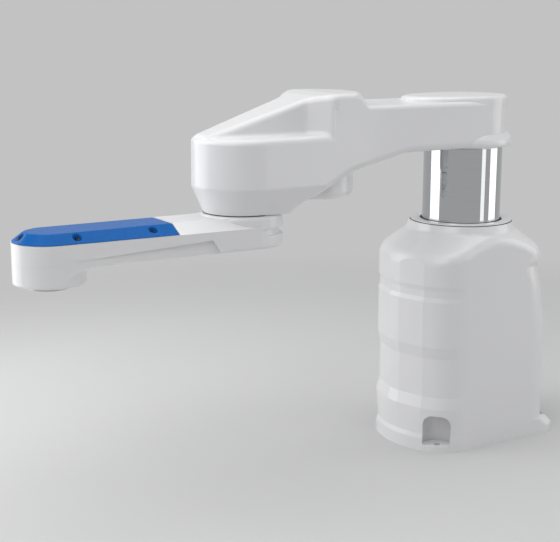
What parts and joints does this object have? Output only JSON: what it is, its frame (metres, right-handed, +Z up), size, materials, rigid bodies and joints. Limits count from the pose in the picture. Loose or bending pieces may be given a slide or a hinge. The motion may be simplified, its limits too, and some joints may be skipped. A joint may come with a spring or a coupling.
{
  "type": "scara robot",
  "caption": "Selective-compliance robot arm: a lifting column in a bolted base carries two level-swinging arms and a turning tool flange.",
  "frame": {"origin": "where the lift column's axis meets the base's mounting face", "axes": "+Z up along the column, +X along both arms in their straight pose, +Y to the left of the arms"},
  "size_m": [0.7668, 0.1686, 0.4865],
  "materials": {
    "white_casting": "glossy white painted casting",
    "white_trim": "glossy white painted metal",
    "chrome_tube": "ground and chrome-plated steel",
    "blue_cover": "glossy blue plastic",
    "panel_metal": "satin",
    "steel_part": "machined",
    "cast_bracket": "machined",
    "motor_body": "black anodised",
    "bronze_bush": "turned bronze",
    "belt_rubber": "toothed belt",
    "connector_metal": "nickel plated"
  },
  "bodies": {
    "base": {"base_housing": "white_casting", "bottom_plate": "steel_part", "rear_panel": "panel_metal", "rear_panel_screws": "steel_part", "rear_sockets": "connector_metal", "air_fittings": "connector_metal", "column_collar": "white_trim", "guide_bush": "bronze_bush", "guide_post": "cast_bracket", "lift_rail": "steel_part", "screw_bearing": "steel_part", "lift_motor": "motor_body", "lift_motor_bracket": "cast_bracket", "lift_belt": "belt_rubber"},
    "lift_screw": {"ball_screw": "steel_part", "screw_pulley": "cast_bracket"},
    "lift_motor_rotor": {"lift_motor_pulley": "steel_part"},
    "column": {"lift_column": "chrome_tube", "column_foot": "cast_bracket", "ball_nut": "steel_part", "rail_carriage": "steel_part", "shoulder_reducer": "steel_part"},
    "upper_arm": {"upper_arm_casting": "white_casting", "shoulder_cap": "white_trim", "shoulder_motor": "motor_body", "boss_cover": "white_trim", "elbow_motor": "motor_body", "elbow_brake": "motor_body", "elbow_belt": "belt_rubber", "elbow_reducer": "steel_part"},
    "elbow_motor_rotor": {"elbow_motor_pulley": "steel_part"},
    "elbow_input": {"elbow_input_pulley": "cast_bracket"},
    "forearm": {"forearm_casting": "white_casting", "forearm_cap": "white_trim", "forearm_cover": "blue_cover", "forearm_cover_screws": "steel_part", "elbow_output_hub": "steel_part", "wrist_motor": "motor_body", "wrist_belt": "belt_rubber", "wrist_bearings": "steel_part"},
    "wrist_motor_rotor": {"wrist_motor_pulley": "steel_part"},
    "tool": {"tool_flange": "steel_part", "wrist_pulley": "cast_bracket"}
  },
  "joints": [
    {"name": "lift", "type": "slide", "parent": "base", "child": "column", "axis": [0, 0, 1], "range_m": [-0.095, 0.055]},
    {"name": "screw_spin", "type": "hinge", "parent": "base", "child": "lift_screw", "pos_m": [0, 0, 0], "axis": [0, 0, 1], "range_deg": [-1800, 1080]},
    {"name": "lift_motor_spin", "type": "hinge", "parent": "base", "child": "lift_motor_rotor", "pos_m": [-0.079, 0, 0], "axis": [0, 0, 1], "range_deg": [-3600, 2160]},
    {"name": "shoulder_turn", "type": "hinge", "parent": "column", "child": "upper_arm", "pos_m": [0, 0, 0], "axis": [0, 0, 1], "range_deg": [-130, 130]},
    {"name": "elbow_turn", "type": "hinge", "parent": "upper_arm", "child": "forearm", "pos_m": [0.35, 0, 0], "axis": [0, 0, 1], "range_deg": [-140, 140]},
    {"name": "elbow_input_spin", "type": "hinge", "parent": "upper_arm", "child": "elbow_input", "pos_m": [0.35, 0, 0], "axis": [0, 0, 1], "range_deg": [-7200, 7200]},
    {"name": "elbow_motor_spin", "type": "hinge", "parent": "upper_arm", "child": "elbow_motor_rotor", "pos_m": [0.245, 0, 0], "axis": [0, 0, 1], "range_deg": [-15120, 15120]},
    {"name": "wrist_turn", "type": "hinge", "parent": "forearm", "child": "tool", "pos_m": [0.6, 0, 0], "axis": [0, 0, 1], "range_deg": [-180, 180]},
    {"name": "wrist_motor_spin", "type": "hinge", "parent": "forearm", "child": "wrist_motor_rotor", "pos_m": [0.486, 0, 0], "axis": [0, 0, 1], "range_deg": [-455, 455]}
  ],
  "couplings": [
    {"joint": "screw_spin", "follows": "lift", "rad_per_m": 314.16},
    {"joint": "lift_motor_spin", "follows": "lift", "rad_per_m": 628.32},
    {"joint": "elbow_input_spin", "follows": "elbow_turn", "ratio": 50},
    {"joint": "elbow_motor_spin", "follows": "elbow_turn", "ratio": 107.14},
    {"joint": "wrist_motor_spin", "follows": "wrist_turn", "ratio": 2.5}
  ]
}
